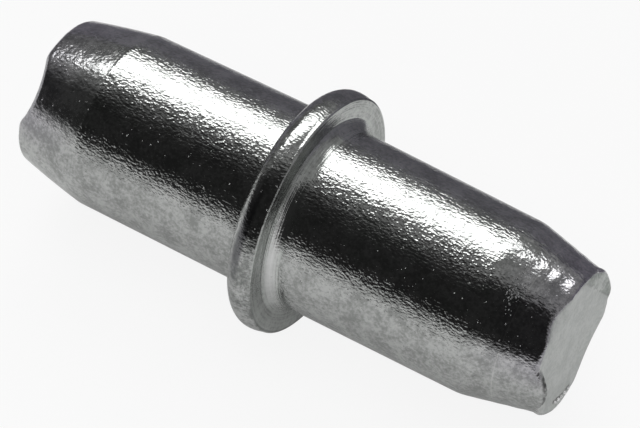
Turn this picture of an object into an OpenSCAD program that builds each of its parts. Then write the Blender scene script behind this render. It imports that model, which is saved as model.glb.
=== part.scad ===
// Shelf support pin: a cold-headed, zinc-plated steel pin with a collar part-way along it.
// One shank is pushed into a hole in the cabinet side, the other carries the shelf.
// The pin lies along X. The origin is where the back of the collar crosses its axis, and +X
// points out of the cabinet, towards the shelf.

/* [Shanks] */
// Diameter of both shanks
shank_d = 4.94; // [4:0.02:6]
// Length of the cabinet shank, from the back of the collar to its cropped end
cabinet_len = 7.24; // [5.5:0.02:10]
// Length of the shelf shank, from the rim line of the collar to its cropped end
shelf_len = 7.58; // [5.5:0.02:10]

/* [Collar] */
// How far the crown of the collar stands out from the shanks
collar_rise = 0.9; // [0.6:0.01:2.5]
// Thickness of the collar, from its back to the rim line at its front
collar_w = 0.82; // [0.72:0.02:1.6]
// Radius that rounds the back of the collar
back_round = 0.43; // [0.2:0.01:0.6]
// Drop from the crown to the rim line
rim_drop = 0.11; // [0.04:0.01:0.18]
// Height of the thin rib that the dies leave along the rim line
rib_h = 0.03; // [0.01:0.01:0.08]
// Rise of the hollow between the shelf shank and the flat ring of the front face
root_rise = 0.29; // [0.06:0.01:0.6]
// Radius of that hollow
root_round = 0.44; // [0.2:0.01:0.8]
// Lean of the collar, which the header leaves a little off square
collar_lean = 2; // [0:0.1:4]
// Turn of that lean about the pin, from straight up
collar_lean_turn = -8; // [-180:1:180]

/* [Lead-in tapers] */
// Slope of the taper on the cabinet end, from the pin's axis
cabinet_taper_angle = 12.4; // [5:0.1:20]
// Length of the taper on the cabinet end
cabinet_taper_len = 1.9; // [0.5:0.05:2.5]
// Slope of the taper on the shelf end, from the pin's axis
shelf_taper_angle = 12.9; // [5:0.1:20]
// Length of the taper on the shelf end
shelf_taper_len = 2.05; // [0.5:0.05:2.5]
// Radius that blends the cabinet shank into its taper
cabinet_blend = 3.6; // [0.5:0.1:6]
// Radius that blends the shelf shank into its taper
shelf_blend = 1.6; // [0.5:0.1:6]

/* [Cropped ends] */
// Depth of the edge that the shear rolls over round each cropped face
edge_roll = 0.12; // [0.04:0.01:0.25]
// Slope of the cabinet end's cropped face, from square
cabinet_crop_angle = 0.6; // [0:0.1:8]
// Turn about the pin of the side where the cabinet end is cropped shortest, from straight up
cabinet_crop_turn = 60; // [-180:1:180]
// Slope of the shelf end's cropped face, from square
shelf_crop_angle = 2; // [0:0.1:8]
// Turn about the pin of the side where the shelf end is cropped shortest, from straight up
shelf_crop_turn = -20; // [-180:1:180]

/* [Shear marks] */
// Radius of the blade's nose, which presses a nick into the edge at each side of a crop
nose_r = 2.6; // [1.5:0.1:4]
// Slope at which a nick runs out across the cropped face
nick_angle = 20; // [10:1:45]
// Depth of the nick in the cabinet end, at its edge
cabinet_nick = 0.29; // [0.05:0.01:0.5]
// Turn about the pin of that nick, from straight up. A second one is opposite.
cabinet_nick_turn = 43; // [-180:1:180]
// Depth of the nick in the shelf end, at its edge
shelf_nick = 0.14; // [0.05:0.01:0.5]
// Turn about the pin of that nick, from straight up
shelf_nick_turn = 24; // [-180:1:180]
// Depth of the second nick in the shelf end, at its edge
far_nick = 0.2; // [0.05:0.01:0.5]
// Turn about the pin of that nick, from straight up
far_nick_turn = -138; // [-180:1:180]
// Slope of the facet where the blade slipped off the shelf end
entry_angle = 20; // [10:1:45]
// Width of that facet, in from the edge
entry_w = 0.35; // [0.2:0.05:1]
// Turn about the pin of that facet, from straight up
entry_turn = -60; // [-180:1:180]
// Length of the torn lip on the shelf end, beyond the cropped face
lip_len = 0.24; // [0.1:0.01:0.4]
// Width of the lip where it rises from the face
lip_w = 1.4; // [0.8:0.05:1.8]
// How far the lip reaches inwards from the edge
lip_thick = 0.18; // [0.1:0.01:0.3]
// Turn about the pin of the lip, from straight up
lip_turn = 86; // [-180:1:180]

/* [Hidden] */
$fn = 96;
arc_steps = 10;                                    // chords in each rounding of a section
shank_r = shank_d / 2;
collar_r = shank_r + collar_rise;
shelf_end = collar_w + shelf_len;                  // the pin's axis meets the cropped face here
cabinet_tip_r = shank_r - cabinet_taper_len * tan(cabinet_taper_angle);
shelf_tip_r = shank_r - shelf_taper_len * tan(shelf_taper_angle);
crown_y = back_round + 0.02;                       // widest ring, from the back of the collar
crown_run = collar_w - crown_y;
crown_round = (rim_drop ^ 2 + crown_run ^ 2) / (2 * rim_drop);
rim_r = collar_r - rim_drop;
rib_root_y = collar_w - 2 * rib_h;                 // the rib rises from the crown here
root_bite = 0.02;                                  // the hollow runs out this far inside the shank
root_r = max(root_round, root_rise + root_bite);
root_turn = acos(1 - (root_rise + root_bite) / root_r);
root_y = collar_w + root_r * sin(root_turn);       // where the hollow runs out
lip_rise = (lip_w ^ 2 / 4 - lip_len ^ 2) / (2 * lip_len);
lip_r = lip_rise + lip_len;                        // the lip is a bow of this radius
far = 20;                                          // larger than anything it cuts

// Radius of the crown at a distance y from the back of the collar
function crown_at(y) = collar_r - crown_round + sqrt(crown_round ^ 2 - (y - crown_y) ^ 2);

function unit(v) = v / norm(v);

// Points of an arc about c, from angle a to angle b
function arc(c, r, a, b) = [
    for (i = [0:arc_steps]) let (t = a + (b - a) * i / arc_steps) c + r * [cos(t), sin(t)]
];

// Points that round an outside corner at p, between the sides that come from a and go on to b,
// met anticlockwise, with an arc of radius r tangent to both
function rounded(p, a, b, r) =
    let (ua = unit(a - p), ub = unit(b - p), half = acos(ua * ub) / 2,
         c = p + unit(ua + ub) * r / sin(half), start = atan2(ua.x, -ua.y))
    arc(c, r, start, start + 180 - 2 * half);

// Half section of one shank, as distance from the axis against distance along it. It starts
// inside the collar at y = start, and its taper runs on past y = end for the crop to cut.
module shank_section(start, end, taper_len, tip_r, blend) {
    bend = [shank_r, end - taper_len];
    past = bend + 1.5 * [tip_r - shank_r, taper_len];
    polygon(concat(
        [[0, start], [shank_r, start]],
        rounded(bend, [shank_r, start], past, blend),
        [past, [0, past.y]]
    ));
}

// What a cropped end leaves: a face across the axis at y = 0 with a rolled edge, which meets a
// taper of radius r there
module crop_section(r) {
    edge = [r - edge_roll, 0];
    skirt = edge + [far, -far];
    polygon(concat([[0, skirt.y], skirt], rounded(edge, skirt, [0, 0], 2 * edge_roll), [[0, 0]]));
}

// Half section of the collar: rounded back, crown, the dies' rib on the rim line, flat front ring
// and the hollow down to the shelf shank
module collar_section() {
    crown_c = [collar_r - crown_round, crown_y];
    polygon(concat(
        [[0, 0]],
        rounded([collar_r, 0], [0, 0], [collar_r, crown_y], back_round),
        arc(crown_c, crown_round, 0, asin((rib_root_y - crown_y) / crown_round)),
        [[crown_at(collar_w - rib_h) + rib_h, collar_w - rib_h], [rim_r, collar_w]],
        arc([shank_r - root_bite + root_r, root_y], root_r, 180 + root_turn, 180),
        [[0, root_y]]
    ));
}

// One shank, drawn along +X
module shank(start, end, taper_len, tip_r, blend) {
    rotate([0, 90, 0])
        rotate_extrude() shank_section(start, end, taper_len, tip_r, blend);
}

// What a crop leaves of the end of a shank: sloped from square, and shortest on the side that
// turn gives
module crop(end, tip_r, slope, turn) {
    rotate([turn, 0, 0])
        translate([end, 0, 0])
            rotate([0, 90 - slope, 0])
                rotate_extrude() crop_section(tip_r);
}

// The groove that the nose of a blade presses into the edge of a cropped face
module nick(end, tip_r, depth, turn) {
    rotate([turn, 0, 0])
        translate([end - depth, 0, tip_r])
            rotate([0, -nick_angle, 0])
                translate([nose_r, 0, 0])
                    cylinder(h = far, r = nose_r, center = true);
}

// The facet on the edge of the shelf end, as everything beyond its plane
module entry_facet() {
    rotate([entry_turn, 0, 0])
        translate([shelf_end, 0, shelf_tip_r - entry_w])
            rotate([0, -entry_angle, 0])
                translate([0, -far / 2, -far / 2])
                    cube([far, far, far]);
}

// Where metal tore instead of shearing, the taper runs on past the cropped face in a thin bow
module torn_lip() {
    difference() {
        rotate([lip_turn, 0, 0])
            translate([shelf_end - lip_rise, 0, 0])
                cylinder(h = far, r = lip_r);
        rotate([0, 90, 0])
            cylinder(h = far, r = shelf_tip_r - lip_thick);
    }
}

// The collar leans about the point where its hollow runs out into the shelf shank
module collar() {
    translate([root_y, 0, 0])
        rotate([collar_lean_turn, 0, 0])
            rotate([0, 90 - collar_lean, 0])
                translate([0, 0, -root_y])
                    rotate_extrude() collar_section();
}

module cabinet_shank() {
    mirror([1, 0, 0]) {
        difference() {
            intersection() {
                shank(-collar_w / 2, cabinet_len, cabinet_taper_len, cabinet_tip_r, cabinet_blend);
                crop(cabinet_len, cabinet_tip_r, cabinet_crop_angle, cabinet_crop_turn);
            }
            for (side = [0, 180])
                nick(cabinet_len, cabinet_tip_r, cabinet_nick, cabinet_nick_turn + side);
        }
    }
}

module shelf_shank() {
    intersection() {
        shank(collar_w / 2, shelf_end, shelf_taper_len, shelf_tip_r, shelf_blend);
        union() {
            difference() {
                crop(shelf_end, shelf_tip_r, shelf_crop_angle, shelf_crop_turn);
                nick(shelf_end, shelf_tip_r, shelf_nick, shelf_nick_turn);
                nick(shelf_end, shelf_tip_r, far_nick, far_nick_turn);
                entry_facet();
            }
            torn_lip();
        }
    }
}

module support_pin() {
    color([0.72, 0.73, 0.74]) {
        cabinet_shank();
        collar();
        shelf_shank();
    }
}

support_pin();
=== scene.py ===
# %% [markdown]
# # A shelf support pin
# A small steel pin that is pushed into a hole in a cabinet side and carries a shelf. A header
# presses it cold from wire: the collar is squeezed up between two dies, both ends are tapered so
# that they find their hole, and a shear crops them off. Zinc plating makes it bright.
# The imported part is loaded first. It fixes the pin's size.

# %% The imported part
import math

import bpy
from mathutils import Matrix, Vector


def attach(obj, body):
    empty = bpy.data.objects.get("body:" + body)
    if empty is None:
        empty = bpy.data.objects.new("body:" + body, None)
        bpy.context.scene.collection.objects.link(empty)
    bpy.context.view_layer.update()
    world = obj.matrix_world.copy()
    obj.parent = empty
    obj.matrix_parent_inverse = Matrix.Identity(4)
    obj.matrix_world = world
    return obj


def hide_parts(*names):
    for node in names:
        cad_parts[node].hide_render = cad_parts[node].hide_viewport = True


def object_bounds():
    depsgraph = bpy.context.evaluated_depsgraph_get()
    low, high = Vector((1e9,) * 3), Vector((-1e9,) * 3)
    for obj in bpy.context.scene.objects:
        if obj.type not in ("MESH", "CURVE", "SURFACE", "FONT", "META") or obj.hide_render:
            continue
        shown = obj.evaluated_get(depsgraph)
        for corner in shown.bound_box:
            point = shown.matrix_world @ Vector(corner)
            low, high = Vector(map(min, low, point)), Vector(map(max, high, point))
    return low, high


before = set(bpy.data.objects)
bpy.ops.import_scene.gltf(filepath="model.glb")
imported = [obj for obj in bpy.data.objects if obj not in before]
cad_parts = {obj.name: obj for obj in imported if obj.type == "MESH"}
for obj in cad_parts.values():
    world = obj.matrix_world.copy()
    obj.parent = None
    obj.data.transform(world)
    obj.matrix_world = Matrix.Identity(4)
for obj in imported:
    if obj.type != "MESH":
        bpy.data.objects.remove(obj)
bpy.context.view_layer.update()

MM = 0.001
DEGREE = math.pi / 180
scene = bpy.context.scene

# %% [markdown]
# ## Where the camera stands
# A small object is looked at from close by with a long lens, so that it fills the view and still
# looks natural. Three directions describe the camera better than three turns do: towards the
# camera, to its right and upwards. The camera's place is then a distance along the first.

# %% The camera
azimuth, elevation = 32.2 * DEGREE, 52.9 * DEGREE
distance = 98.5 * MM
towards = Vector((math.sin(azimuth) * math.cos(elevation),
                  -math.cos(azimuth) * math.cos(elevation), math.sin(elevation)))
right = Vector((math.cos(azimuth), math.sin(azimuth), 0))
up = towards.cross(right)

in_collar_middle = Vector((0.45 * MM, 0, 0))
view_centre = in_collar_middle + 0.3525 * MM * right - 0.1063 * MM * up
camera = bpy.data.objects.new("camera", bpy.data.cameras.new("camera"))
scene.collection.objects.link(camera)
camera.location = view_centre + distance * towards
camera.rotation_euler = towards.to_track_quat("Z", "Y").to_euler()
camera.data.sensor_width = 36
camera.data.lens = 213.75
camera.data.clip_start = 0.005
camera.data.clip_end = 10
scene.camera = camera
scene.view_settings.view_transform = "Standard"
print("camera at, in mm:", [round(1000 * c, 1) for c in camera.location])

# %% [markdown]
# ## Arithmetic with nodes
# A node tree does its sums with Math nodes, one for each plus or times. Wiring them by hand hides
# what is calculated. This small class stands for a node's output and builds the Math node when
# two of them are added or multiplied, so that the trees below read as formulas do.

# %% A shorthand for node arithmetic
class Number:
    """A node's output, to calculate with."""

    def __init__(self, tree, socket):
        self.tree, self.socket = tree, socket

    def math(self, operation, *others):
        node = self.tree.nodes.new("ShaderNodeMath")
        node.operation = operation
        for slot, value in zip(node.inputs, (self,) + others):
            feed(self.tree, slot, value)
        return Number(self.tree, node.outputs[0])

    def __add__(self, other):
        return self.math("ADD", other)

    def __sub__(self, other):
        return self.math("SUBTRACT", other)

    def __mul__(self, other):
        return self.math("MULTIPLY", other)

    def __truediv__(self, other):
        return self.math("DIVIDE", other)

    def __neg__(self):
        return self.math("MULTIPLY", -1.0)

    def __rsub__(self, other):
        return -self + other

    __radd__ = __add__
    __rmul__ = __mul__


def feed(tree, slot, value):
    """Links a socket to a node's output, or writes a plain value into it."""
    if isinstance(value, Number):
        tree.links.new(value.socket, slot)
    else:
        slot.default_value = value


print("shorthand ready")

# %% Any node in one line
def add(tree, kind, inputs=None, output=0, **settings):
    """A new node with its settings and inputs, as the output that is wanted from it."""
    node = tree.nodes.new(kind)
    for name, value in settings.items():
        setattr(node, name, value)
    for name, value in (inputs or {}).items():
        feed(tree, node.inputs[name], value)
    return Number(tree, node.outputs[output])


def choose(tree, index, options, kind="FLOAT"):
    """The option whose place in the list is index."""
    node = tree.nodes.new("GeometryNodeIndexSwitch")
    node.data_type = kind
    while len(node.index_switch_items) < len(options):
        node.index_switch_items.new()
    feed(tree, node.inputs["Index"], index)
    for slot, value in zip(node.inputs[1:], options):
        feed(tree, slot, value)
    return Number(tree, node.outputs[0])


print("nodes in one line")

# %% Ramps and blends
def ramp(value, start, end, smooth=True):
    """0 before start, 1 after end, and a smooth or straight rise between them."""
    return add(value.tree, "ShaderNodeMapRange",
               {"Value": value, "From Min": start, "From Max": end},
               interpolation_type="SMOOTHSTEP" if smooth else "LINEAR")


def between(value, start, full, last, end):
    """0 outside start and end, 1 from full to last, and smooth in between."""
    return ramp(value, start, full) * (1 - ramp(value, last, end))


def close_to(value, place, full, end):
    """1 where the value is within full of a place, and 0 beyond end."""
    return 1 - ramp((value - place).math("ABSOLUTE"), full, end)


def blend(share, first, second):
    """A value that goes from first to second with share."""
    return first + share * (second - first)


print("ramps ready")

# %% [markdown]
# ## The tree and its sizes
# The pin is a turned form, so its shape follows a rule: one outline, swept once round the axis.
# It could be modelled by hand with Spin, but Geometry Nodes keep every size as a named input, so
# the same tree makes any pin of this kind. Lengths are in metres and angles in radians, as nodes
# expect them. A turn is an angle round the pin, from straight up.

# %% Sizes of the shanks and their tapers
SIZES = {
    "Radius at the collar": 2.485 * MM,
    "Radius where the cabinet taper starts": 2.448 * MM,
    "Radius where the shelf taper starts": 2.428 * MM,
    "Cabinet length": 7.24 * MM,
    "Cabinet taper length": 2.0 * MM,
    "Cabinet taper angle": 11.8 * DEGREE,
    "Cabinet blend": 0.5 * MM,
    "Cabinet taper bow": 0.02 * MM,
    "Shelf end": 8.4 * MM,
    "Shelf taper length": 2.05 * MM,
    "Shelf taper angle": 12.9 * DEGREE,
    "Shelf blend": 1.6 * MM,
    "Edge roll": 0.17 * MM,
}
pin_length = SIZES["Cabinet length"] + SIZES["Shelf end"]
print("pin length:", round(pin_length / MM, 2), "mm")

# %% Sizes of the collar
SIZES.update({
    "Collar radius": 3.367 * MM,
    "Collar width": 0.83 * MM,
    "Back rounding": 0.43 * MM,
    "Crown land": 0.02 * MM,
    "Rim drop": 0.1 * MM,
    "Rib height": 0.03 * MM,
    "Hollow rise": 0.27 * MM,
    "Hollow radius": 0.44 * MM,
    "Collar lean": 2.9 * DEGREE,
    "Collar lean turn": 0 * DEGREE,
    "Collar foot": 0.6 * MM,
})
print("collar diameter:", round(2 * SIZES["Collar radius"] / MM, 2), "mm")

# %% Sizes of the shear marks
SIZES.update({
    "Nose radius": 2.6 * MM,
    "Nick angle": 20 * DEGREE,
    "Cabinet crop angle": 0.6 * DEGREE,
    "Cabinet crop turn": 60 * DEGREE,
    "Cabinet nick": 0.29 * MM,
    "Cabinet nick turn": 43 * DEGREE,
    "Shelf crop angle": 2 * DEGREE,
    "Shelf crop turn": -20 * DEGREE,
    "Shelf nick": 0.14 * MM,
    "Shelf nick turn": 24 * DEGREE,
    "Far nick": 0.18 * MM,
    "Far nick turn": -144 * DEGREE,
    "Far nose radius": 8 * MM,
    "Facet width": 0.3 * MM,
    "Facet angle": 14 * DEGREE,
    "Facet turn": -56 * DEGREE,
    "Lip length": 0.24 * MM,
    "Lip width": 1.4 * MM,
    "Lip thickness": 0.18 * MM,
    "Lip turn": 86 * DEGREE,
    "Sharp corner": 0.05 * MM,
    "Burr turn": 149 * DEGREE,
    "Burr radius": 0.043 * MM,
})
print("deepest nick:", round(SIZES["Cabinet nick"] / MM, 2), "mm")

# %% Sizes of the bend, the waves and the rings
SIZES.update({
    "Cabinet bend": 0.7 * DEGREE,
    "Cabinet bend turn": 123 * DEGREE,
    "Waviness": 0.003 * MM,
    "Taper ripple": 0.005 * MM,
    "Taper ripple pitch": 0.45 * MM,
})
print(len(SIZES), "named sizes")

# %% The tree, with an input for each size
tree = bpy.data.node_groups.new("headed_pin", "GeometryNodeTree")
tree.interface.new_socket("Geometry", in_out="OUTPUT", socket_type="NodeSocketGeometry")
for name, value in SIZES.items():
    socket = tree.interface.new_socket(name, in_out="INPUT", socket_type="NodeSocketFloat")
    socket.default_value = value
sizes_in = tree.nodes.new("NodeGroupInput")
size = {name: Number(tree, sizes_in.outputs[name]) for name in SIZES}
print("tree", tree.name, "with", len(size), "inputs")

# %% [markdown]
# ## The outline
# The outline runs from the centre of one cropped face, over taper, shank, collar and shank, to
# the centre of the other. It starts as a line with a corner at each change of direction. Every
# corner then gets its own rounding, as a lathe drawing gives it: large where a shank blends
# into its taper, tight at the cropped edges. Long straight stretches are cut into short ones.

# %% Radii and places along the outline
RIB_FOOTING = 3.5                                # rib heights from the rim line to the rib's foot
shank_r, collar_r = size["Radius at the collar"], size["Collar radius"]
width, drop, rib = size["Collar width"], size["Rim drop"], size["Rib height"]
crown_start = size["Back rounding"] + size["Crown land"]
run = width - crown_start
crown_round = (drop * drop + run * run) / (2 * drop)
rib_run = run - RIB_FOOTING * rib
crown_turn = (rib_run / crown_round).math("ARCSINE")
crown_corner = crown_start + crown_round * (crown_turn * 0.5).math("TANGENT")
rim_r = collar_r - drop
rib_foot_r = collar_r - crown_round + (
    crown_round * crown_round - rib_run * rib_run).math("SQRT")

hollow_r = size["Hollow radius"]
hollow_turn = (1 - size["Hollow rise"] / hollow_r).math("ARCCOSINE")
hollow_end = width + hollow_r * hollow_turn.math("SINE")
hollow_corner = hollow_end - hollow_r * (hollow_turn * 0.5).math("TANGENT")


def taper_tip(start_r, end):
    """Radius at the tip of a taper that starts at start_r."""
    return start_r - size[end + " taper length"] * size[end + " taper angle"].math("TANGENT")


cabinet_r = size["Radius where the cabinet taper starts"]
shelf_r = size["Radius where the shelf taper starts"]
cabinet_tip, shelf_tip = taper_tip(cabinet_r, "Cabinet"), taper_tip(shelf_r, "Shelf")
cabinet_end, shelf_end = size["Cabinet length"], size["Shelf end"]
cabinet_taper_start = cabinet_end - size["Cabinet taper length"]
shelf_taper_start = shelf_end - size["Shelf taper length"]
print("outline measured")

# %% Corners of the outline
roll = size["Edge roll"]
tiny = 0.004 * MM                                # the smallest rounding
RIB_CREST = 1.6                                  # rib heights from the rim line out to the crest
ROOM = 0.98                                      # leaves room for the rounding beside this one

# place along the axis, radius there, rounding, points in the rounding
CORNERS = [
    (-cabinet_end, 0.0, 0.0, 1),
    (-cabinet_end, cabinet_tip, roll, 7),
    (-cabinet_taper_start, cabinet_r, size["Cabinet blend"], 6),
    (0.0, shank_r, 2 * tiny, 2),
    (0.0, collar_r, size["Back rounding"], 18),
    (crown_corner, collar_r, crown_round, 12),
    (width - RIB_FOOTING * rib, rib_foot_r, tiny, 1),
    (width - rib, rim_r + RIB_CREST * rib, 6 * tiny, 3),
    (width, rim_r, tiny, 2),
    (width, shank_r + size["Hollow rise"], 5 * tiny, 2),
    (hollow_corner, shank_r, hollow_r * ROOM, 12),
    (shelf_taper_start, shelf_r, size["Shelf blend"], 12),
    (shelf_end, shelf_tip, roll, 7),
    (shelf_end, 0.0, 0.0, 1),
]
places, radii, roundings, points = zip(*CORNERS)

line = add(tree, "GeometryNodeCurvePrimitiveLine")
line = add(tree, "GeometryNodeResampleCurve", {"Curve": line, "Count": len(CORNERS)})
corner = add(tree, "GeometryNodeInputIndex")
corner_place = add(tree, "ShaderNodeCombineXYZ", {
    "X": choose(tree, corner, places), "Y": choose(tree, corner, radii)})
outline = add(tree, "GeometryNodeSetPosition", {"Geometry": line, "Position": corner_place})
outline = add(tree, "GeometryNodeFilletCurve", {
    "Curve": outline, "Radius": choose(tree, corner, roundings),
    "Count": choose(tree, corner, points, "INT")}, mode="POLY")
print(len(CORNERS), "corners")

# %% Short stretches between the corners
LONGEST = 0.052 * MM
point = add(tree, "GeometryNodeInputPosition")
next_point = add(tree, "GeometryNodeFieldAtIndex", {"Index": corner + 1, "Value": point},
                 data_type="FLOAT_VECTOR")
gap = add(tree, "ShaderNodeVectorMath", {0: point, 1: next_point},
          output="Value", operation="DISTANCE")
outline = add(tree, "GeometryNodeSubdivideCurve", {
    "Curve": outline, "Cuts": (gap / LONGEST).math("FLOOR")})
rows = add(tree, "GeometryNodeAttributeDomainSize", {"Geometry": outline}, component="CURVE")
print("outline cut into stretches of at most", round(LONGEST / MM, 3), "mm")

# %% [markdown]
# ## Once round the axis
# A flat grid is the sheet that the outline is swept with. Each row of its points takes one point
# of the outline, and each point in the row its own turn round the axis. Turn 0 is straight up.
# The first and last point of a row meet and are merged at the end, and so are both poles.

# %% The sheet, its rows and its turns
STEPS_ROUND = 217
NUDGE = 1e-4                                     # keeps a whole number from being rounded down
sheet = add(tree, "GeometryNodeMeshGrid", {"Vertices X": rows, "Vertices Y": STEPS_ROUND})
index = add(tree, "GeometryNodeInputIndex")
row = (index / STEPS_ROUND + NUDGE).math("FLOOR")
turn = (index - row * STEPS_ROUND) * (2 * math.pi / (STEPS_ROUND - 1))
on_outline = add(tree, "GeometryNodeSampleIndex",
                 {"Geometry": outline, "Value": point, "Index": row}, data_type="FLOAT_VECTOR")
split = tree.nodes.new("ShaderNodeSeparateXYZ")
feed(tree, split.inputs[0], on_outline)
# x is the distance along the axis, r the distance from it
x, r = Number(tree, split.outputs[0]), Number(tree, split.outputs[1])
print(STEPS_ROUND - 1, "steps round")

# %% Sides and noise on the sheet
def side(angle):
    """1 on the side of the pin that faces this turn, -1 on the opposite one."""
    return (turn - angle).math("COSINE")


def noise(scale, seed, detail=1.0):
    """Smooth noise from -1 to 1 on the pin's surface, in lumps of about one scale."""
    swept_point = add(tree, "ShaderNodeCombineXYZ", {
        "X": x, "Y": r * turn.math("SINE"), "Z": r * turn.math("COSINE")})
    value = add(tree, "ShaderNodeTexNoise", {
        "Vector": swept_point, "W": seed, "Scale": 1 / scale, "Detail": detail},
        noise_dimensions="4D")
    return value * 2.0 - 1.0


print("noise ready")

# %% [markdown]
# ## What the shear leaves
# A shear doesn't cut square. The two blades press a nick into opposite sides of the edge, the
# face between them slopes, a facet is left where a blade slipped off, the torn steel is uneven,
# and at one place it runs on in a thin lip. Booleans could cut each mark, but they leave hard
# edges and a mesh that is hard to shade. Here each mark is a depth by which the face moves
# inwards, or outwards where it is negative. The taper behind the face follows, so its slope
# stays the same.

# %% The slope, the nicks and the facet
# Widths over which the marks fade in
NICK_SOFT, FACET_SOFT, LIP_SOFT = 0.05 * MM, 0.04 * MM, 0.03 * MM


def across(near, angle):
    """Distance of a point to the side of the line that this turn gives."""
    return near * (turn - angle).math("SINE")


def slope(near, end):
    """Depth of the whole face, which slopes from square."""
    return near * side(size[end + " crop turn"]) * size[end + " crop angle"].math("TANGENT")


def nick(near, tip, depth, angle, nose):
    """Depth of the groove that a blade's nose presses into the edge."""
    deepest = depth - (tip - near * side(angle)) * size["Nick angle"].math("TANGENT")
    sides = across(near, angle) * across(near, angle) / (2 * nose)
    return (deepest - sides).math("SMOOTH_MAX", 0.0, NICK_SOFT)


def facet(near, tip):
    """Depth of the flat facet, which starts a little in from the edge."""
    beyond = near * side(size["Facet turn"]) - tip + size["Facet width"]
    return beyond.math("SMOOTH_MAX", 0.0, FACET_SOFT) * size["Facet angle"].math("TANGENT")


print("slope, nicks and facet")

# %% The torn lip and the uneven steel
def lip(near, tip):
    """Length of the torn lip, a bow that stands on the edge."""
    length, lip_width = size["Lip length"], size["Lip width"]
    angle, inside = size["Lip turn"], tip - size["Lip thickness"]
    bow_rise = (lip_width * lip_width / 4 - length * length) / (2 * length)
    bow_r = bow_rise + length
    bow = (bow_r * bow_r - across(near, angle) * across(near, angle)).math("MAXIMUM", 0.0)
    return ((bow.math("SQRT") - bow_rise).math("MAXIMUM", 0.0)
            * ramp(near, inside - LIP_SOFT, inside + LIP_SOFT) * ramp(side(angle), 0.0, 0.1))


def ragged(near, tip, lump, seed, detail, deep):
    """Unevenness of the torn steel. The power keeps it near the edge."""
    return (near / tip).math("POWER", 5.0) * noise(lump, seed, detail) * deep


print("lip and unevenness")

# %% Depth of the marks at each end
blade_r = size["Nose radius"]
near_cabinet = r.math("MINIMUM", cabinet_tip)
opposite = size["Cabinet nick turn"] + math.pi
cabinet_depth = (
    slope(near_cabinet, "Cabinet")
    + nick(near_cabinet, cabinet_tip, size["Cabinet nick"], size["Cabinet nick turn"], blade_r)
    + nick(near_cabinet, cabinet_tip, size["Cabinet nick"], opposite, blade_r)
    + ragged(near_cabinet, cabinet_tip, lump=0.5 * MM, seed=3.1, detail=2.0, deep=0.03 * MM))

near_shelf = r.math("MINIMUM", shelf_tip)
torn_lip = lip(near_shelf, shelf_tip) * (1 + 0.35 * noise(0.16 * MM, 8.3, 2.0))
shelf_depth = (
    slope(near_shelf, "Shelf")
    + nick(near_shelf, shelf_tip, size["Shelf nick"], size["Shelf nick turn"], blade_r)
    + nick(near_shelf, shelf_tip, size["Far nick"], size["Far nick turn"], size["Far nose radius"])
    + facet(near_shelf, shelf_tip)
    - torn_lip
    + ragged(near_shelf, shelf_tip, lump=0.35 * MM, seed=5.7, detail=3.0, deep=0.022 * MM))
print("shear marks set out")

# %% Moving the faces and their tapers
STILL = 0.02 * MM                                # the last of a taper moves as a whole
cabinet_part = ramp(-x, cabinet_taper_start, cabinet_end - STILL, smooth=False)
shelf_part = ramp(x, shelf_taper_start, shelf_end - STILL, smooth=False)


def follow_taper(depth, part, tip, end):
    """The radius grows by this much when a taper's point moves towards the collar."""
    reach = (r / tip).math("MINIMUM", 1.0)
    return depth * part * reach * size[end + " taper angle"].math("TANGENT")


new_x = x + cabinet_depth * cabinet_part - shelf_depth * shelf_part
new_r = (r + follow_taper(cabinet_depth, cabinet_part, cabinet_tip, "Cabinet")
         + follow_taper(shelf_depth, shelf_part, shelf_tip, "Shelf"))
print("faces moved")

# %% Sharp stretches of the edge
# The shear rolls the edge over where it enters. It leaves it sharp where it breaks out, on a
# narrow stretch and a wide one.
on_roll = (ramp(x, shelf_end - roll, shelf_end - 0.3 * roll)
           * ramp(r, shelf_tip - roll, shelf_tip - 0.3 * roll))
broke_out = ramp(side(-74 * DEGREE), 0.90, 0.98) + ramp(side(130 * DEGREE), 0.60, 0.95)
corner_out = size["Sharp corner"] * on_roll * broke_out
new_x = new_x + corner_out
new_r = new_r + corner_out
print("edges sharpened")

# %% [markdown]
# ## What the header leaves
# The collar leans a little, and the cabinet shank isn't quite in line with the other one. The
# skin is never perfectly round either: shallow waves run over it, deeper on the tapers, where
# the metal was squeezed last, and the shelf taper carries a few rings. Sculpting could make
# them, but noise and a sine do it with one size each. They are far thinner than a hair, and
# matter because they make highlights wander and break.

# %% The lean and the bend
foot = size["Collar foot"]
in_collar = between(x, -foot, 0.0, hollow_end, hollow_end + foot)
proud = ramp(r, shank_r, collar_r, smooth=False) * in_collar
lean = side(size["Collar lean turn"]) * size["Collar lean"]
new_x = new_x - lean * r * in_collar
new_r = new_r + lean * (x - hollow_end) * proud

bend = (-x).math("MAXIMUM", 0.0) * size["Cabinet bend"].math("TANGENT")
bend_turn = size["Cabinet bend turn"]
print("collar leans by", round(SIZES["Collar lean"] / DEGREE, 1), "degrees")

# %% The waves and the rings
on_taper = cabinet_part.math("MAXIMUM", shelf_part)
off_faces = ramp(r, 1.2 * MM, 2.0 * MM)
bow = 4 * cabinet_part * (1 - cabinet_part) * size["Cabinet taper bow"]
waves = noise(1.3 * MM, 11.0) + noise(0.45 * MM, 12.0) * (0.25 + 0.9 * on_taper)
wander = noise(0.8 * MM, 14.0) * 1.2
rings = (x * (2 * math.pi) / size["Taper ripple pitch"] + wander).math("SINE")
rings = rings * size["Taper ripple"] * shelf_part * (1 - ramp(x, 8.1 * MM, 8.3 * MM))
new_r = new_r + off_faces * (
    waves * size["Waviness"] + bow + rings * ramp(r, 1.7 * MM, 2.0 * MM))
print("waves of", round(SIZES["Waviness"] / MM, 3), "mm")

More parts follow.
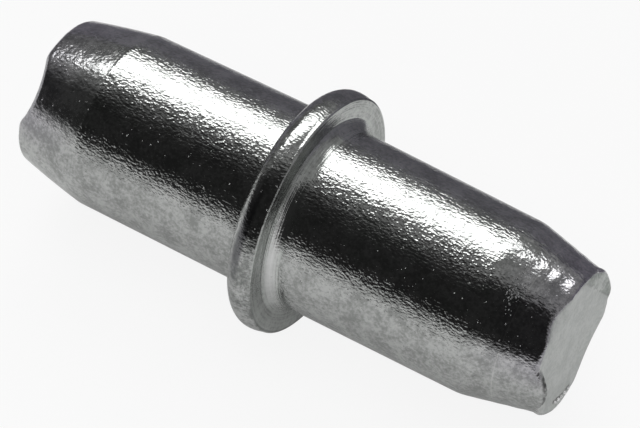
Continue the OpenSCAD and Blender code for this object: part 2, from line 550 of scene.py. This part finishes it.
# %% The swept pin
swept_place = add(tree, "ShaderNodeCombineXYZ", {
    "X": new_x,
    "Y": -new_r * turn.math("SINE") - bend * bend_turn.math("SINE"),
    "Z": new_r * turn.math("COSINE") + bend * bend_turn.math("COSINE")})
pin = add(tree, "GeometryNodeSetPosition", {"Geometry": sheet, "Position": swept_place})
print("sheet swept")

# %% [markdown]
# ## What the skin has to know
# Each part of the pin has its own finish, and the material has to know where it is. It could
# guess that from the place in space, but the collar leans and the edges are ragged. The tree
# knows it exactly, so it stores a mask for each finish, and for each patch of painted shade or
# sheen, on the points, while x and r still are the places on the drawing.

# %% Masks for the finishes and for painted shade
shelf_face = ramp(x, shelf_end - 0.03 * MM, shelf_end - 0.005 * MM)
cabinet_face = ramp(-x, cabinet_end - 0.012 * MM, cabinet_end - 0.002 * MM)

# The facet's foot is painted as a fine dark crease, as painted shade
crease_turn, crease_in = -57 * DEGREE, 0.46 * MM
past_foot = near_shelf * side(crease_turn) - shelf_tip + crease_in
in_hollow = ramp(x, width - 0.005 * MM, width) * (1 - ramp(x, hollow_end - 0.07 * MM, hollow_end))
# The stretch of the hollow that gets a painted sheen
sheen_stretch = between(x, width + 0.01 * MM, width + 0.09 * MM,
                        hollow_end - 0.28 * MM, hollow_end - 0.02 * MM)
rim_line = ramp(x, width - 0.012 * MM, width - 0.002 * MM)
MASKS = {
    "cropped": cabinet_face + shelf_face,
    "crease_shade": close_to(past_foot, 0.0, 0.0, 0.045 * MM) * shelf_face,
    # The facet's mask, for its painted shade
    "facet": ramp(past_foot, -0.02 * MM, 0.05 * MM) * shelf_face,
    "taper": on_taper,
    "proud": proud * (1 - in_hollow),
    # The rim's mask, for a painted shadow line
    "rim_shadow": rim_line * ramp(r, rim_r - 0.02 * MM, rim_r - 0.005 * MM),
    "ring": in_hollow,
    "hollow": in_hollow * sheen_stretch,
    "way": r - x,
}
print("masks:", ", ".join(MASKS))

# %% Painted shade on the torn edge
burr_r = shelf_tip - 0.26 * MM
# Painted shade: a dark ring on the face under the burrs, and dark on the torn lip's crest
shade_under_burrs = (close_to(near_shelf, burr_r, 0.04 * MM, 0.09 * MM)
             * ramp(side(size["Burr turn"] + 12 * DEGREE), 0.955, 0.975) * shelf_face)
on_edge = ramp(x, shelf_end - 0.06 * MM, shelf_end - 0.01 * MM)
shade_on_lip = ramp(torn_lip, 0.05 * MM, 0.14 * MM) * on_edge
MASKS["torn"] = shade_under_burrs + shade_on_lip


def remember(geometry, name, value):
    """Stores a field on the points, for the material to read."""
    return add(tree, "GeometryNodeStoreNamedAttribute",
               {"Geometry": geometry, "Name": name, "Value": value}, data_type="FLOAT")


for name, value in MASKS.items():
    pin = remember(pin, name, value)
pin = add(tree, "GeometryNodeMergeByDistance", {"Geometry": pin, "Distance": 0.0008 * MM})
pin = add(tree, "GeometryNodeSetShadeSmooth", {"Geometry": pin})
print(len(MASKS), "masks stored")

# %% [markdown]
# ## Burrs on the broken edge
# Where the blade broke out, a few crumbs of metal stay on the face, close to its edge. They
# could be placed one by one, but a string of points is easier to change: each point takes its
# own turn round the pin, Geometry Proximity drops it on the face, and a small bead of random
# size is put on it. The beads are painted white and matt, as painted glints, so they look
# bright from anywhere.

# %% A string of beads
BURRS = 5
BURR_PITCH = 6.2 * DEGREE
string = add(tree, "GeometryNodeMeshLine", {"Count": BURRS}, mode="OFFSET")
burr_turn = size["Burr turn"] + add(tree, "GeometryNodeInputIndex") * BURR_PITCH
above_face = add(tree, "ShaderNodeCombineXYZ", {
    "X": shelf_end + 0.1 * MM,
    "Y": -burr_r * burr_turn.math("SINE"), "Z": burr_r * burr_turn.math("COSINE")})
dropped = add(tree, "GeometryNodeProximity", {"Geometry": pin, "Source Position": above_face},
              target_element="FACES")
string = add(tree, "GeometryNodeSetPosition", {
    "Geometry": string, "Position": dropped, "Offset": (0.02 * MM, 0, 0)})
bead = add(tree, "GeometryNodeMeshIcoSphere", {"Radius": size["Burr radius"], "Subdivisions": 2})
# Sockets 2 and 3 are the smallest and largest number, and output 1 is the number
bead_size = add(tree, "FunctionNodeRandomValue", {2: 0.6, 3: 1.2, "Seed": 5},
                output=1, data_type="FLOAT")
burrs = add(tree, "GeometryNodeInstanceOnPoints", {
    "Points": string, "Instance": bead, "Scale": bead_size})
burrs = add(tree, "GeometryNodeRealizeInstances", {"Geometry": burrs})
burrs = remember(burrs, "burr", 1.0)
joined = tree.nodes.new("GeometryNodeJoinGeometry")
for part in (burrs, pin):
    tree.links.new(part.socket, joined.inputs[0])
pin = Number(tree, joined.outputs[0])
print(BURRS, "burrs")

# %% [markdown]
# ## The plated skin
# Bright zinc on headed steel is a mirror that has been dimpled all over. Each dimple is about
# as wide as a hair, half as long again along the pin, and turns the mirror by a few
# degrees. Where a highlight ends, the dimples break its edge into sparks. They are far too many
# for geometry, so a Bump node with fine noise makes them. One material does the whole pin, and
# the masks say where its finish changes and where shade, sheen and glints are painted on it.

# %% The zinc material
zinc = bpy.data.materials.new("zinc_plated_steel")
zinc.use_nodes = True
paint = zinc.node_tree
paint.nodes.clear()
surface = paint.nodes.new("ShaderNodeBsdfPrincipled")
output = paint.nodes.new("ShaderNodeOutputMaterial")
paint.links.new(surface.outputs[0], output.inputs["Surface"])


def mark(name):
    """A mask that the tree stored on the points."""
    return add(paint, "ShaderNodeAttribute", output="Fac", attribute_name=name)


def grain(vector, scale, detail=2.0, roughness=0.5):
    """Noise from 0 to 1 in lumps of about one scale."""
    return add(paint, "ShaderNodeTexNoise", {
        "Vector": vector, "Scale": 1 / scale, "Detail": detail, "Roughness": roughness})


print("material", zinc.name)

# %% Where a point lies on the pin
spot = add(paint, "ShaderNodeTexCoord", output="Object")
drawn_out = add(paint, "ShaderNodeMapping", {"Vector": spot, "Scale": (0.65, 1, 1)})
spot_parts = paint.nodes.new("ShaderNodeSeparateXYZ")
feed(paint, spot_parts.inputs[0], spot)
along, leftwards, upwards = (Number(paint, spot_parts.outputs[i]) for i in range(3))
round_pin = (-leftwards).math("ARCTAN2", upwards)
cropped, proud_mark = mark("cropped"), mark("proud")
taper_mark = mark("taper")
tapered = ramp(taper_mark, 0.0, 0.05)
at_cabinet = 1 - ramp(along, -1 * MM, 0)
print("places and masks read")

# %% Dimples
# Shallower on the tapers and the collar, where the dies rubbed them, and uneven along one side
DIMPLE = 0.06 * MM
dimples = grain(drawn_out, DIMPLE, 1.0)
swells = grain(drawn_out, 0.15 * MM, 1.0)
patches = grain(spot, 0.9 * MM, 3.0)
left_by_dies = 1 - (tapered * blend(at_cabinet, 0.5, 0.6)).math("MAXIMUM", proud_mark * 0.35)
uneven_side = between(round_pin, 2 * DEGREE, 12 * DEGREE, 16 * DEGREE, 34 * DEGREE)
deeper = ramp(grain(spot, 0.11 * MM, 1.0), 0.46, 0.62)
uneven = 1 + uneven_side * blend(deeper, -0.25, 0.28)
height = dimples * blend(patches, 0.5, 1.0) * uneven * left_by_dies + swells * 0.45
print("dimples of", round(DIMPLE / MM, 3), "mm")

# %% [markdown]
# ## Pits
# Here and there a small round pit is left in the plating, and a belt on the shelf taper has many
# of them. A Voronoi texture draws round cells, but would put a pit in every one, so a coarser
# noise picks the few cells that get one.

# %% Pits
belt = (between(along, 6.82 * MM, 6.98 * MM, 7.18 * MM, 7.34 * MM)
        * between(round_pin, -10 * DEGREE, 2 * DEGREE, 24 * DEGREE, 38 * DEGREE))
PIT = 0.065 * MM
cells = add(paint, "ShaderNodeTexVoronoi", {"Vector": spot, "Scale": 1 / PIT})
picked = ramp(grain(spot, 0.13 * MM, 1.0) + belt * 0.5 + uneven_side * 0.07, 0.70, 0.76)
pit = (1 - ramp(cells, 0.14, 0.36)) * picked
height = height - pit * 2.8

# The sheared faces have neither dimples nor pits, only the coarser grain of torn steel
height = height * (1 - cropped) + cropped * 0.3 * grain(spot, 0.12 * MM, 3.0)
print("pits of", round(PIT / MM, 3), "mm")

# %% [markdown]
# ## Lines from the die
# The die turned fine lines into the collar's front ring and burnished the hollow behind it. On
# one side the hollow is also painted paler, as a painted sheen. The lines run round the pin, so
# their noise reads the way across ring and hollow, and hardly the turn. The leaning collar would
# cut through lines that were painted in space, but the way was stored before the collar leaned.

# %% Lines on the ring, and the bump
ring, hollow, way = mark("ring"), mark("hollow"), mark("way")
round_slowly = round_pin * (0.06 * MM)
across_lines = add(paint, "ShaderNodeCombineXYZ", {"X": way, "Y": round_slowly})
lines = grain(across_lines, 0.045 * MM, 2.0)
height = blend(ring, height, height * 0.35 + lines * 0.8)
bump = add(paint, "ShaderNodeBump", {"Strength": 1.0, "Distance": 0.018 * MM, "Height": height})
feed(paint, surface.inputs["Normal"], bump)
print("bump connected")

# %% [markdown]
# ## How glossy it is
# The shanks are nearly a mirror, with cloudy patches from the bath. The tapers and the collar
# are a little duller and the sheared faces are matt, because there the steel was torn.

# %% Roughness
clouds = grain(spot, 0.25 * MM, 3.0)
taper_dullness = blend(grain(spot, 0.2 * MM, 4.0), 0.02, 0.11)
roughness = blend(clouds, 0.04, 0.11)
roughness = roughness + proud_mark * 0.05 + tapered * blend(at_cabinet, 0.4, 1.0) * taper_dullness
SHEARED_ROUGHNESS = 0.42
roughness = blend(cropped, roughness, SHEARED_ROUGHNESS)
print("roughness mixed")

# %% [markdown]
# ## Colours
# A metal's Base Color is the tint of its reflections. Zinc is a light grey, and the mottle of its
# crystals goes between a darker and a paler one. Each finish has such a pair. The tapers are a
# little violet, the crown is darker on its lower side, the facet is darker as painted shade, and
# the sheared faces are the palest. Marks that are all one tone are mixed in last, from the
# shanks outwards to the edges. Several of them are painted light: painted shade on the collar's
# back, the rim, the facet's foot and the torn edge, a painted sheen in the hollow, and painted
# glints on the beads.

# %% Tones
PLATED = (0.32, 0.33, 0.32, 1), (0.56, 0.57, 0.56, 1)
TAPERED = (0.29, 0.28, 0.315, 1), (0.57, 0.55, 0.59, 1)
DARKER_CROWN = (0.21, 0.22, 0.212, 1), (0.56, 0.568, 0.56, 1)
SHEARED = (0.50, 0.52, 0.505, 1), (0.62, 0.635, 0.62, 1)
FACET_SHADE_MOTTLE = (0.32, 0.345, 0.325, 1), (0.60, 0.62, 0.60, 1)

# Single tones, from dark to pale
TORN_EDGE_SHADE = (0.08, 0.08, 0.08, 1)
RIM_SHADOW_TONE = (0.10, 0.11, 0.10, 1)
BACK_SHADE = (0.10, 0.10, 0.11, 1)
DARK_SPOT_TONE = (0.12, 0.12, 0.12, 1)
CREASE_SHADE_TONE = (0.20, 0.21, 0.20, 1)
TURNED = (0.64, 0.68, 0.645, 1)
TAPER_LINE = (0.66, 0.66, 0.65, 1)
BURNISHED_SHEEN = (0.78, 0.78, 0.78, 1)
BEAD_GLINT = (0.95, 0.95, 0.95, 1)


def tint(share, first, second):
    """A colour that goes from first to second with share."""
    node = paint.nodes.new("ShaderNodeMix")
    node.data_type = "RGBA"
    for slot, value in zip((0, 6, 7), (share, first, second)):
        feed(paint, node.inputs[slot], value)
    return Number(paint, node.outputs[2])


fine_mottle, wide_mottle = grain(spot, 0.1 * MM, 4.0, 0.7), grain(spot, 0.5 * MM, 2.0)
mottle = ramp(fine_mottle * 0.6 + wide_mottle * 0.4, 0.38, 0.62)
print("five pairs of tones and nine single ones")

# %% Shanks, tapers and crown
tone = tint(mottle, *PLATED)
upper_half = 1 - ramp(round_pin, 60 * DEGREE, 90 * DEGREE)
tone = tint(taper_mark * upper_half * 0.7, tone, tint(mottle, *TAPERED))
# The crown is darker on its lower side
lower_crown = ramp(round_pin, 40 * DEGREE, 85 * DEGREE)
tone = tint(proud_mark * lower_crown, tone, tint(mottle, *DARKER_CROWN))

# Painted shade: a dark band round part of the collar's back, on one side only
collar_back_shade = proud_mark * between(along, 0.04 * MM, 0.2 * MM, 0.34 * MM, 0.46 * MM)
back_shade_side = between(round_pin, 22 * DEGREE, 48 * DEGREE, 62 * DEGREE, 88 * DEGREE)
tone = tint(collar_back_shade * back_shade_side * 0.8, tone, BACK_SHADE)

# A thin pale line round the shelf taper
taper_line = close_to(along, 7.32 * MM, 0.006 * MM, 0.022 * MM)
tone = tint(taper_line * 0.45, tone, TAPER_LINE)
print("skin toned")

# %% Faces, ring and hollow
tone = tint(cropped, tone, tint(mottle, *SHEARED))
tone = tint(ring * ramp(lines, 0.35, 0.65) * 0.5, tone, TURNED)
# The hollow is burnished, and on one side it is also painted paler, as a painted sheen
sheen_side = between(round_pin, 8 * DEGREE, 42 * DEGREE, 88 * DEGREE, 118 * DEGREE)
tone = tint(hollow * sheen_side * blend(lines, 0.35, 1.0), tone, BURNISHED_SHEEN)

# A small dark spot where the hollow runs out into the shank
dark_spot = (close_to(along, 1.28 * MM, 0.02 * MM, 0.1 * MM)
         * between(round_pin, 88 * DEGREE, 96 * DEGREE, 104 * DEGREE, 114 * DEGREE))
tone = tint(dark_spot * 0.6, tone, DARK_SPOT_TONE)
print("faces and hollow toned")

# %% Facet, rim, torn edge and burrs, with painted shade and painted glints
# Painted shade: the facet is painted darker than the rest of the face, with the same random mottle
tone = tint(mark("facet"), tone, tint(mottle, *FACET_SHADE_MOTTLE))
tone = tint(mark("crease_shade") * ramp(mottle, 0.9, 0.4) * 0.8, tone, CREASE_SHADE_TONE)
# Painted shadow: a dark line along the rim, on its lower side
rim_shadow_side = ramp(round_pin, 75 * DEGREE, 115 * DEGREE)
tone = tint(mark("rim_shadow") * rim_shadow_side * 0.7, tone, RIM_SHADOW_TONE)
# Painted shade on the torn edge, in patches
torn_patches = ramp(grain(spot, 0.12 * MM, 2.0), 0.24, 0.66)
tone = tint(mark("torn") * torn_patches, tone, TORN_EDGE_SHADE)

# The beads are painted white and matt, as painted glints, and the pits are glossier than the skin
# round them
burr = mark("burr")
tone = tint(burr, tone, BEAD_GLINT)
feed(paint, surface.inputs["Base Color"], tone)
feed(paint, surface.inputs["Roughness"], blend(burr, roughness * (1 - pit * 0.7), 0.5))
feed(paint, surface.inputs["Metallic"], 1 - burr)
print("zinc material ready, with", len(paint.nodes), "nodes")

# %% [markdown]
# ## From tree to mesh
# The tree now gets its material and its output, and a blank object carries it as a modifier. Its
# sizes are set by each socket's identifier, before it is first evaluated. The result is copied
# into a plain mesh at the origin, because only plain meshes ride on the frame.

# %% The pin as a plain mesh
pin = add(tree, "GeometryNodeRealizeInstances", {"Geometry": pin})
pin = add(tree, "GeometryNodeSetMaterial", {"Geometry": pin, "Material": zinc})
tree_out = tree.nodes.new("NodeGroupOutput")
feed(tree, tree_out.inputs[0], pin)

blank = bpy.data.objects.new("blank", bpy.data.meshes.new("blank"))
scene.collection.objects.link(blank)
swept = blank.modifiers.new("headed pin", "NODES")
swept.node_group = tree
for item in tree.interface.items_tree:
    if item.item_type == "SOCKET" and item.in_out == "INPUT":
        swept[item.identifier] = SIZES[item.name]

bpy.context.view_layer.update()
shape = blank.evaluated_get(bpy.context.evaluated_depsgraph_get())
support_pin = bpy.data.objects.new("headed_pin", bpy.data.meshes.new_from_object(shape))
bpy.data.objects.remove(blank)
scene.collection.objects.link(support_pin)
mesh = support_pin.data
triangles = sum(len(p.vertices) - 2 for p in mesh.polygons)
print("pin:", len(mesh.vertices), "points,", triangles, "triangles")

# %% [markdown]
# ## A closed shell
# A mesh that is printed or weighed has to be closed, with every edge shared by two faces, and
# its faces have to point outwards. A positive volume shows that they do. If it is negative, all
# faces are turned round.

# %% Is the shell closed, and does it face outwards?
import bmesh
shell = bmesh.new()
shell.from_mesh(mesh)
open_edges = sum(1 for e in shell.edges if len(e.link_faces) != 2)
if shell.calc_volume(signed=True) < 0:
    bmesh.ops.reverse_faces(shell, faces=shell.faces)
    shell.to_mesh(mesh)
volume = shell.calc_volume(signed=True)
print("open edges:", open_edges, " volume:", round(volume / MM ** 3, 1), "mm3")
shell.free()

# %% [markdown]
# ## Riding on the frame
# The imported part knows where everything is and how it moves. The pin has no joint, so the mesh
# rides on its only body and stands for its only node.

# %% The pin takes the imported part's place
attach(support_pin, "root")
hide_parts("support_pin")
print(support_pin.name, "stands for support_pin")

# %% [markdown]
# ## The studio
# Polished metal shows nothing of its own, only what stands round it. It is lit by a large soft
# window above and behind, a pale sheet below, and darkness where the camera is. The window draws
# the bright stripe, the sheet fills the underside, and the dark between them gives the pin its
# form. The sheet comes first. A flat square is enough, because the white goes on in the world
# behind it. To the camera the sheet also glows, so that the background is white while the light
# on the pin stays plain, and the part of its shading that still shows keeps the pin's shadow.

# %% Paper
floor_paint = bpy.data.materials.new("pale_paper")
floor_paint.use_nodes = True
sheet_tree = floor_paint.node_tree
paper = sheet_tree.nodes["Principled BSDF"]
paper.inputs["Base Color"].default_value = (0.64, 0.64, 0.64, 1)
paper.inputs["Roughness"].default_value = 0.9
paper.inputs["Specular IOR Level"].default_value = 0.0

WHITE_TO_CAMERA, WHITE_IN_METAL = 0.88, 0.1
ray = sheet_tree.nodes.new("ShaderNodeLightPath")
from_camera, from_gloss, through_glass = (Number(sheet_tree, ray.outputs[name]) for name in (
    "Is Camera Ray", "Is Glossy Ray", "Is Transmission Ray"))
mirrored = from_gloss.math("MAXIMUM", through_glass)
white = add(sheet_tree, "ShaderNodeEmission", {"Color": (1, 1, 1, 1), "Strength": 1.0})
mixed = sheet_tree.nodes.new("ShaderNodeMixShader")
feed(sheet_tree, mixed.inputs[0], from_camera * WHITE_TO_CAMERA + mirrored * WHITE_IN_METAL)
sheet_tree.links.new(paper.outputs[0], mixed.inputs[1])
feed(sheet_tree, mixed.inputs[2], white)
sheet_tree.links.new(mixed.outputs[0], sheet_tree.nodes["Material Output"].inputs["Surface"])
print("paper ready")

# %% Floor
def board(name, corners, board_paint):
    """A flat four-sided board that belongs to the studio."""
    board_mesh = bpy.data.meshes.new(name)
    board_mesh.from_pydata(corners, [], [(0, 1, 2, 3)])
    board_mesh.materials.append(board_paint)
    placed = bpy.data.objects.new(name, board_mesh)
    scene.collection.objects.link(placed)
    return placed


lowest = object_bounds()[0][2]
half = 1.0
floor = board("floor", [(-half, -half, lowest), (half, -half, lowest), (half, half, lowest),
                        (-half, half, lowest)], floor_paint)
print(floor.name, "at", round(lowest / MM, 3), "mm")

# %% [markdown]
# ## A dark card behind
# The pale sheet runs on behind the pin, and its reflection would make the pin's upper edge as
# pale as the background. A dark card that stands behind, out of view, keeps that edge dark. It
# is hidden from the camera and casts no shadow, so only its reflection shows.

# %% Dark card
card_paint = bpy.data.materials.new("dark_card")
card_paint.use_nodes = True
card_surface = card_paint.node_tree.nodes["Principled BSDF"]
card_surface.inputs["Base Color"].default_value = (0.26, 0.25, 0.285, 1)
card_surface.inputs["Roughness"].default_value = 1.0
behind, wide, high = 8 * MM, 60 * MM, 4.5 * MM
card = board("card", [(-wide, behind, lowest), (wide, behind, lowest), (wide, behind, high),
                      (-wide, behind, high)], card_paint)
card.visible_camera = card.visible_shadow = card.visible_diffuse = False
print(card.name, round(behind / MM), "mm behind")

# %% [markdown]
# ## Fill for the sheet
# Two large soft lamps light the sheet from above and from low in front, so that the shadow under
# the pin stays light. Polished metal would show them as extra stripes, so they are kept out of
# reflections: the metal sees them only by what they do to the sheet.

# %% Fill lamps
def fill_lamp(name, place, across_m, watts):
    """A square lamp that faces the pin and shows in no reflection."""
    lamp = bpy.data.lights.new(name, "AREA")
    lamp.size, lamp.energy = across_m, watts
    holder = bpy.data.objects.new(name, lamp)
    holder.location = place
    holder.rotation_euler = Vector(place).to_track_quat("Z", "Y").to_euler()
    holder.visible_glossy = False
    scene.collection.objects.link(holder)


fill_lamp("fill above", (0, -0.15, 0.5), across_m=0.5, watts=1.7)
fill_lamp("fill in front", (0.06, -0.38, 0.10), across_m=0.3, watts=0.6)
print("two fill lamps")

# %% [markdown]
# ## A room with a window
# The rest of the room is painted on the world, where a direction is all that is needed: dx says
# how far it points along the pin, and rise how high it stands, from 0 in the back, over 90
# degrees straight up, to 180 in front. The window is a soft patch at 38 to 70 degrees. Its upper
# edge is skewed at both ends, and its left side is slanted, so the stripe on the pin is too.
# The camera sees plain white instead of the room, as it does on the sheet.

# %% Directions in the room
world = bpy.data.worlds.new("studio")
scene.world = world
world.use_nodes = True
room = world.node_tree
room.nodes.clear()
sky = room.nodes.new("ShaderNodeBackground")
world_out = room.nodes.new("ShaderNodeOutputWorld")
room.links.new(sky.outputs[0], world_out.inputs["Surface"])

direction = add(room, "ShaderNodeTexCoord", output="Generated")
parts = room.nodes.new("ShaderNodeSeparateXYZ")
feed(room, parts.inputs[0], direction)
dx, dy, dz = (Number(room, parts.outputs[i]) for i in range(3))
rise = dz.math("ARCTAN2", dy)
print("directions ready")

# %% The window
skew_left = 4.5 * DEGREE * (1 - ramp(dx, -0.37, -0.27))
skew_right = 16 * DEGREE * ramp(dx, -0.22, 0.02)
upper_edge = rise - (skew_left - skew_right)
window = ramp(rise, 35 * DEGREE, 41 * DEGREE) * (1 - ramp(upper_edge, 67 * DEGREE, 73 * DEGREE))
WINDOW_MIDDLE = 56 * DEGREE
slant = (rise - WINDOW_MIDDLE) * 0.35
sides = ramp(dx + slant, -0.64, -0.615) * (1 - ramp(dx, 0.02, 0.12))
glow = 0.125 * between(rise, 10 * DEGREE, 30 * DEGREE, 78 * DEGREE, 118 * DEGREE)
WINDOW_LEVEL = 4.0
window_light = sides * (window * WINDOW_LEVEL + glow)
print("window ready")

# %% The room round it
low = ramp(dz, 0.02, 0.24)
behind_level = blend(low, 0.25, 0.20) * blend(ramp(dx, -0.15, 0.1), 1.0, 1.8)
front_level = blend(low, 0.62, 0.03)
room_level = blend(ramp(-dy, -0.1, 0.2), behind_level, front_level)
haze = 0.02 * (1 - ramp(dx, -0.68, -0.40))
ROOM_STRENGTH = 0.8
level = (room_level + haze + window_light) * ROOM_STRENGTH
to_camera = add(room, "ShaderNodeLightPath", output="Is Camera Ray")
sky.inputs["Color"].default_value = (1, 1, 1, 1)
feed(room, sky.inputs["Strength"], blend(to_camera, level, 1.0))
print("room ready")
